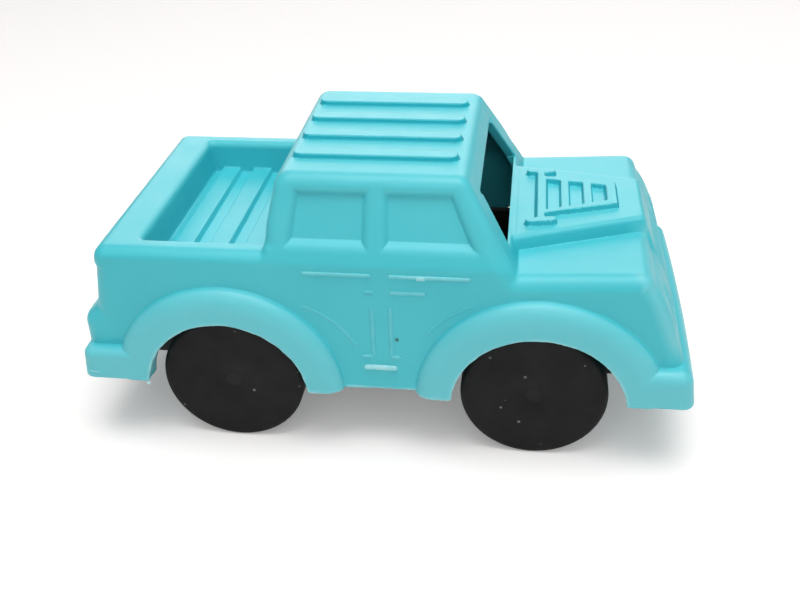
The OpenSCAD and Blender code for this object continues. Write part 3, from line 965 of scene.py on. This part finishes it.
    def build(self) -> Object:
        """Builds the body and puts it in place of its CAD node.

        The walls of the ribs and the vent are kept out of the thinning, so that they stay even.

        Returns:
            The object.
        """
        level = LevelSurface(self.step)
        x, y, z = level.axes()
        values = ShellField(x[:, None, None], y[None, :, None], z[None, None, :]).shell()
        surface = level.extract(values.astype(np.float32))
        log.info("body surface: %d squares", len(surface.faces))
        rough = surface.mesh("body_skin")
        made = put("body_skin", rough)
        keep = made.vertex_groups.new(name="keep")
        keep.add(np.flatnonzero(self.fine(surface.points)).tolist(), 1.0, "REPLACE")
        thin = made.modifiers.new("thin", "DECIMATE")
        thin.vertex_group, thin.invert_vertex_group = keep.name, True
        thin.ratio = min(0.98, self.most / (2 * len(rough.polygons)))
        thin.use_collapse_triangulate = True
        graph = bpy.context.evaluated_depsgraph_get()
        mesh = bpy.data.meshes.new_from_object(made.evaluated_get(graph))
        bpy.data.objects.remove(made)
        bpy.data.meshes.remove(rough)
        mesh.name = "truck_body"
        mesh.polygons.foreach_set("use_smooth", np.ones(len(mesh.polygons), dtype=bool))
        points, normals = self.settle(mesh)
        mark(mesh, "wear", self.wear(points))
        # Paleness: partly wear, partly painted highlight and sheen.
        mark(mesh, "pale", self.pale(points))
        # Painted shade on the steep walls.
        mark(mesh, "deep", self.deep(points, normals))
        return place(mesh, self.finish.build(), Body.TRUCK, Slot.SHELL, "body_shell")


@dataclass
class Bead:
    """A thin bead along a line on the body, of elliptical section and with round ends.

    Ring i is p_i + w_i cos(t) a_i + h_i sin(t) o_i, t from 0 to 2 pi, where a_i lies in the wall
    across the line and o_i points out of it; w and h shrink to a point at both ends.

    Attributes:
        path: Points in mm, n by 3.
        half_w: Half width, one value or one for each point.
        half_h: Height above the wall, the same.
        out: Direction out of the wall.
        sides: Number of points round the section.
    """

    path: Array
    half_w: float | Array
    half_h: float | Array
    out: Triple = (0.0, -1.0, 0.0)
    sides: int = 10

    def surface(self) -> Surface:
        """Sweeps the section along the line.

        Returns:
            The closed surface in triangles.
        """
        p, n, sides = np.asarray(self.path, float), len(self.path), self.sides
        along = np.gradient(p, axis=0)
        along /= np.linalg.norm(along, axis=1, keepdims=True)
        out = np.broadcast_to(np.asarray(self.out, float), p.shape)
        across = np.cross(out, along)
        run = np.concatenate([[0], np.cumsum(np.linalg.norm(np.diff(p, axis=0), axis=1))])
        half_w = np.broadcast_to(np.asarray(self.half_w, float), n)
        half_h = np.broadcast_to(np.asarray(self.half_h, float), n)
        reach = np.minimum(run, run[-1] - run) / np.maximum(half_w, 1e-6)
        taper = np.sqrt(np.clip(1 - (1 - np.clip(reach, 0, 1)) ** 2, 0.02, 1))
        t = np.linspace(0, 2 * np.pi, sides, endpoint=False)
        ring = (
            p[:, None]
            + (half_w * taper)[:, None, None] * np.cos(t)[None, :, None] * across[:, None]
            + (half_h * taper)[:, None, None] * np.sin(t)[None, :, None] * out[:, None]
        )
        points = np.concatenate([ring.reshape(-1, 3), p[:1], p[-1:]])
        i, j = np.meshgrid(np.arange(n - 1), np.arange(sides), indexing="ij")
        k = (j + 1) % sides
        a, b = i * sides + j, i * sides + k
        c, d = a + sides, b + sides
        walls = np.stack([a, b, d, a, d, c], -1).reshape(-1, 3)
        j, k = j[0], k[0]
        first, last, end = n * sides, n * sides + 1, (n - 1) * sides
        caps = np.concatenate([
            np.stack([np.full_like(j, first), k, j], -1),
            np.stack([np.full_like(j, last), j + end, k + end], -1),
        ])
        return Surface(points, np.concatenate([walls, caps]))


def straight(x0: float, z0: float, x1: float, z1: float, y: float, pitch: float = 0.1) -> Array:
    """Points along a straight line on a side wall.

    Args:
        x0: X of its start.
        z0: Height of its start.
        x1: X of its end.
        z1: Height of its end.
        y: Y of the wall.
        pitch: Distance between points.

    Returns:
        Points, n by 3.
    """
    n = max(6, int(math.hypot(x1 - x0, z1 - z0) / pitch))
    t = np.linspace(0, 1, n)
    return np.stack([x0 + (x1 - x0) * t, np.full(n, y), z0 + (z1 - z0) * t], axis=1)


def curve(x: float, z: float, r: float, start: float, end: float, y: float, pitch: float = 0.12) -> Array:
    """Points along an arc on a side wall.

    Args:
        x: X of its centre.
        z: Height of its centre.
        r: Radius.
        start: First angle, in degrees from +X towards +Z.
        end: Last angle.
        y: Y of the wall.
        pitch: Distance between points.

    Returns:
        Points, n by 3.
    """
    n = max(8, int(abs(math.radians(end - start)) * r / pitch))
    t = np.radians(np.linspace(start, end, n))
    return np.stack([x + r * np.cos(t), np.full(n, y), z + r * np.sin(t)], axis=1)


@dataclass
class DoorLines:
    """Thin raised lines on both doors: belts, handles, shut lines, step and the doors' arcs.

    Attributes:
        finish: Their finish.
        wall: Y of the door wall.
        level: Level lines: X of both ends from the middle, height and wear.
        arcs: Arcs: X of the centre from the middle, radius, both angles, height above the wall and wear.
        arc_z: Height of the arcs' centres.
    """

    finish: Finish = TURQUOISE
    wall: float = -17.6
    level: tuple[tuple[float, ...], ...] = (
        (-8.7, -0.4, 25.3, 0.2), (1.5, 11.1, 25.3, 0.3), (-1.5, -0.3, 23.1, 0.15), (1.6, 5.9, 23.1, 0.2),
        (-2.1, -0.6, 13.9, 0.15), (1.5, 2.8, 13.9, 0.15),
    )
    arcs: tuple[tuple[float, ...], ...] = (
        (-12.3, 10.65, 72, 24, 0.08, 0.1), (15.8, 12.05, 112, 146, 0.06, 0.05),
    )
    arc_z: float = 10.5

    def build(self) -> Object:
        """Builds the lines of both sides as one piece, with two flaws of the right side.

        Returns:
            The object.
        """
        m, y = SIZES.mid, self.wall
        lines = [
            (Bead(straight(m + x0, z, m + x1, z, y), half_w=0.24, half_h=0.2), pale_tint)
            for x0, x1, z, pale_tint in self.level
        ]
        low, high, left, right, step_z = 13.9, 20.9, -0.6, 1.6, 12.25
        for x in (left, right):
            lines.append((Bead(straight(m + x, low, m + x, high, y), half_w=0.3, half_h=0.1), 0.1))
        lines.append((Bead(straight(m - 1.9, step_z, m + 2.3, step_z, y), half_w=0.36, half_h=0.34), 0.75))
        for x, r, start, end, height, pale_tint in self.arcs:
            lines.append((Bead(curve(m + x, self.arc_z, r, start, end, y), half_w=0.2, half_h=height), pale_tint))
        blob = Bead(straight(4.6, 25.2, 5.8, 25.2, y, pitch=0.05), half_w=0.32, half_h=0.27)
        spot = Bead(straight(1.95, 16.45, 2.45, 16.45, y, pitch=0.04), half_w=0.29, half_h=0.05)
        parts, wear = [], []
        for i, (bead, pale_tint) in enumerate(lines + [(blob, 0.6), (spot, 0.0)]):
            one = bead.surface()
            made = [one, one.mirrored()] if i < len(lines) else [one]
            parts += made
            wear.append(np.full(len(made) * len(one.points), pale_tint))
        mesh, wear = gather(parts).mesh("door_lines"), np.concatenate(wear)
        mark(mesh, "wear", wear)
        mark(mesh, "soil", wear == 0)
        return place(mesh, self.finish.build(), Body.TRUCK, Slot.SHELL)


@dataclass
class Flash:
    """Ragged thin flash that moulding leaves along the arches' edges and the lower edges.

    Attributes:
        finish: Its finish.
        seed: Seed of the raggedness.
        pitch: Distance between points along it.
        skirt_x: Ends of the flash along the skirt.
        shreds: Two shreds at the right rear foot: X and height of both ends, half width and wear.
    """

    finish: Finish = TURQUOISE
    seed: int = 7
    pitch: float = 0.16
    skirt_x: Pair = (-5.2, 5.1)
    shreds: tuple[tuple[float, ...], ...] = (
        (-37.0, 10.62, -35.8, 10.35, 0.13, 0.4), (-29.75, 9.15, -29.3, 9.05, 0.24, 0.9),
    )

    def build(self) -> Object:
        """Builds the flash of both sides as one piece.

        Returns:
            The object.
        """
        s, sides, made = SIZES, 8, []
        foot_up, lip_in, arch_out, skirt_up, skirt_in, shred_in = 0.1, 0.16, 0.03, 0.06, 0.08, 0.02
        random = np.random.default_rng(self.seed)

        def ragged(count: int, span: int, least: float) -> Array:
            """Random values from 0.1 to 1, smoothed over a span of points and cut off below a least one."""
            smooth = np.convolve(random.random(count + span - 1), np.ones(span) / span, "valid")
            return np.clip((smooth - least) * 4, 0.1, 1)

        low, high = (
            math.degrees(math.asin((foot + foot_up - s.arch_z) / s.arch_r))
            for foot in (s.lip_low, s.bumper_z)
        )
        for side in (-1, 1):
            y = side * (s.lip - lip_in)
            for arch, out in ((s.rear_arch, -1), (s.front_arch, 1)):
                start, end = (low, 180 - high) if out < 0 else (high, 180 - low)
                path = curve(arch, s.arch_z, s.arch_r + arch_out, start, end, y, self.pitch)
                ahead = path[:, 0] - arch
                drawn = ahead * s.arch_drawn / s.arch_round
                path[:, 0] = arch + np.where((ahead > 0) & (out > 0), drawn, ahead)
                rough = ragged(len(path), span=9, least=0.36)
                half_w, half_h = 0.05 + 0.09 * rough, 0.1 + 0.05 * rough
                made.append((Bead(path, half_w, half_h, (0, side, 0), sides), 0.5))
        (x0, x1), z = self.skirt_x, s.skirt + skirt_up
        for side in (-1, 1):
            path = straight(x0, z, x1, z, side * (s.side - skirt_in), self.pitch)
            rough = ragged(len(path), span=7, least=0.33)
            half_w, half_h = 0.06 + 0.16 * rough, 0.08 + 0.1 * rough
            made.append((Bead(path, half_w, half_h, (0, side, 0), sides), 0.4))
        for x0, z0, x1, z1, half_w, pale_tint in self.shreds:
            path = straight(x0, z0, x1, z1, shred_in - s.lip, pitch=0.05)
            made.append((Bead(path, half_w, half_h=0.12, sides=sides), pale_tint))
        parts = [bead.surface() for bead, _ in made]
        mesh = gather(parts).mesh("mould_flash")
        wear = [np.full(len(one.points), pale_tint) for one, (_, pale_tint) in zip(parts, made)]
        mark(mesh, "wear", np.concatenate(wear))
        return place(mesh, self.finish.build(), Body.TRUCK, Slot.SHELL)


@dataclass
class Wheel:
    """A black wheel: plain face with a small dimple, cored out on its inside.

    The surface is the closed outline (r, w) turned about the axle:
    (x, y, z) = (x0 + r cos t, side (17.6 - 4.2 + w), z0 + r sin t), its corners rounded by arcs.

    Attributes:
        corner: Where it sits.
        turns: Number of steps round the axle.
        arc: Number of points on each rounded corner.
        pitch: Distance between points along the outline.
    """

    corner: Corner
    turns: int = 160
    arc: int = 7
    pitch: float = 0.5

    def outline(self) -> Array:
        """The section's outline, anticlockwise in (r, w) from the bore.

        Returns:
            Points, n by 2.
        """
        tread, width = SIZES.wheel_r, SIZES.wheel_w
        bore, hub, rim, core, dimple = 0.99, 2.5, 7.6, 2.8, 3.9
        corners = [
            (bore, 0.0, 0.1), (hub, 0.0, 0.2), (hub, core, 0.4), (rim, core, 0.5), (rim, 0.0, 0.2),
            (tread, 0.0, 0.3), (tread, width, 0.6), (2.9, width, 0.9), (1.15, dimple, 0.1),
            (bore, dimple, 0.005),
        ]
        made = []
        for i, (r, w, soft) in enumerate(corners):
            here = np.array((r, w))
            back = np.array(corners[i - 1][:2]) - here
            ahead = np.array(corners[(i + 1) % len(corners)][:2]) - here
            back, ahead = back / np.linalg.norm(back), ahead / np.linalg.norm(ahead)
            t = np.linspace(0, np.pi / 2, self.arc)[:, None]
            made.append(here + soft * (1 - np.sin(t)) * back + soft * (1 - np.cos(t)) * ahead)
        points = np.concatenate(made)
        dense = [points[:1]]
        for p, q in zip(points, np.roll(points, -1, axis=0)):
            n = max(1, int(np.linalg.norm(q - p) / self.pitch))
            dense.append(p + (q - p) * np.linspace(0, 1, n + 1)[1:, None])
        return np.concatenate(dense)[:-1]

    def build(self, material: Material) -> Object:
        """Turns the outline and puts the wheel in place of its CAD node.

        Args:
            material: The wheel's material.

        Returns:
            The object.
        """
        s = SIZES
        end, side = self.corner.value
        section = self.outline()
        n = len(section)
        t = np.linspace(0, 2 * np.pi, self.turns, endpoint=False)
        r, w = section[None, :, 0], section[None, :, 1]
        x = (s.front_axle if end > 0 else s.rear_axle) + r * np.cos(t)[:, None]
        y = np.broadcast_to(side * (s.side - s.wheel_w + w), x.shape)
        z = s.axle_z + r * np.sin(t)[:, None]
        i, j = np.meshgrid(np.arange(self.turns), np.arange(n), indexing="ij")
        a, b = i * n + j, i * n + (j + 1) % n
        k = (i + 1) % self.turns
        c, d = k * n + j, k * n + (j + 1) % n
        faces = np.stack([a, b, d, c], -1).reshape(-1, 4)
        faces = faces if side < 0 else faces[:, ::-1]
        name = self.corner.name.lower() + "_wheel"
        mesh = Surface(np.stack([x, y, z], -1).reshape(-1, 3), faces).mesh("turned_" + name)
        body = Body.FRONT_WHEELS if end > 0 else Body.REAR_WHEELS
        return place(mesh, material, body, Slot.WHEEL, name)


@dataclass(frozen=True)
class Lamp:
    """A square soft light that looks at the truck.

    Attributes:
        name: Its name.
        at: Its place in metres.
        size: Its side in metres.
        watts: Its power.
        sheen: Whether it shows in reflections alone.
        aim: The place that it looks at, in metres.
    """

    name: str
    at: Triple
    size: float
    watts: float
    sheen: bool = False
    aim: Triple = (0.0, 0.0, 0.015)

    def build(self) -> None:
        """Makes the light."""
        data = bpy.data.lights.new(self.name, "AREA")
        data.size, data.energy = self.size, self.watts
        made = put(self.name, data)
        made.visible_diffuse = not self.sheen
        made.location = Vector(self.at)
        made.rotation_mode = "QUATERNION"
        made.rotation_quaternion = (Vector(self.aim) - Vector(self.at)).to_track_quat("-Z", "Y")


@dataclass
class Studio:
    """Pale floor, soft light from above, before and behind, and the camera of the photograph.

    Attributes:
        camera_at: Camera place in mm.
        pitch: Angle below the horizon, degrees.
        yaw: Turn to the right, degrees.
        roll: Turn about the view's axis, degrees.
        lens: Focal length for the sensor's width.
        sensor: Width of the sensor in mm.
        sky: Strength of the world's light.
        paper: Colour of the floor.
        reach: Half of the floor's side, in metres.
        floor_lift: Light that the floor adds where it is seen, so that it stays white near the truck.
        lamps: The lights.
    """

    camera_at: Triple = (16.695, -112.319, 83.292)
    pitch: float = 32.555
    yaw: float = -8.381
    roll: float = 1.989
    lens: float = 43.764
    sensor: float = 36.0
    sky: float = 0.2
    paper: Triple = (0.955, 0.925, 0.91)
    reach: float = 2.0
    floor_lift: float = 0.22
    lamps: tuple[Lamp, ...] = (
        Lamp("top", (0.03, -0.05, 0.6), 0.4, 2.1),
        Lamp("front", (0.05, -0.35, 0.5), 0.7, 1.42),
        Lamp("right", (0.6, 0.0, 0.45), 0.5, 0.3),
        Lamp("sheen", (-0.1, 0.75, 0.38), 0.8, 4.8, sheen=True),
    )

    def camera(self) -> None:
        """Makes the scene's camera."""
        p, w, r = (math.radians(v) for v in (self.pitch, self.yaw, self.roll))
        ahead = Vector((math.sin(w) * math.cos(p), math.cos(w) * math.cos(p), -math.sin(p)))
        right = Vector((math.cos(w), -math.sin(w), 0))
        down = ahead.cross(right)
        right, down = right * math.cos(r) + down * math.sin(r), down * math.cos(r) - right * math.sin(r)
        data = bpy.data.cameras.new("photo_camera")
        data.sensor_width, data.lens = self.sensor, self.lens
        data.clip_start, data.clip_end = 0.005, 10
        made = put("photo_camera", data)
        turn = Matrix((right, -down, -ahead)).transposed().to_4x4()
        made.matrix_world = Matrix.Translation(Vector(self.camera_at) * MM) @ turn
        bpy.context.scene.camera = made

    def floor(self) -> None:
        """Makes a plain floor, white to the camera and in reflections away from the shadow."""
        r = self.reach
        mesh = bpy.data.meshes.new("floor")
        mesh.from_pydata([(-r, -r, 0), (r, -r, 0), (r, r, 0), (-r, r, 0)], [], [(0, 1, 2, 3)])
        made = put("floor", mesh)
        material = bpy.data.materials.new("floor_paper")
        material.use_nodes = True
        tree = material.node_tree
        shader = tree.nodes["Principled BSDF"]
        shader.inputs["Base Color"].default_value = (*self.paper, 1)
        shader.inputs["Roughness"].default_value = 0.9
        shader.inputs["Specular IOR Level"].default_value = 0.1
        shader.inputs["Emission Color"].default_value = (1, 1, 1, 1)
        seen = add_node(tree, "LightPath", "Is Camera Ray", {})
        rays = seen.node.outputs
        for ray in ("Is Glossy Ray", "Is Transmission Ray"):
            seen = add_node(tree, "Math", 0, {0: seen, 1: rays[ray]}, operation="MAXIMUM")
        lift = add_node(tree, "Math", 0, {0: seen, 1: self.floor_lift}, operation="MULTIPLY")
        tree.links.new(lift, shader.inputs["Emission Strength"])
        mesh.materials.append(material)

    def build(self) -> None:
        """Builds the whole studio."""
        scene = bpy.context.scene
        scene.view_settings.view_transform = "Standard"
        world = bpy.data.worlds.new("studio")
        world.use_nodes = True
        sky = world.node_tree.nodes["Background"]
        sky.inputs["Color"].default_value = (1, 1, 1, 1)
        sky.inputs["Strength"].default_value = self.sky
        scene.world = world
        self.floor()
        for lamp in self.lamps:
            lamp.build()
        self.camera()


def main() -> None:
    """Builds the truck and its studio."""
    logging.basicConfig(level=logging.INFO, format="%(name)s %(message)s")
    BodyShell(step=0.2).build()
    for node, finish in (("floor_pan", PAN_BLACK), ("front_axle", AXLE_BLACK), ("rear_axle", AXLE_BLACK)):
        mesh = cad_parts[node].data
        mesh.materials.clear()
        mesh.materials.append(finish.build())
        log.info("%s: %s", node, finish.name)
    black = WHEEL_BLACK.build()
    for corner in Corner:
        Wheel(corner).build(black)
    DoorLines().build()
    Flash().build()
    Studio().build()


if __name__ == "__main__":
    main()
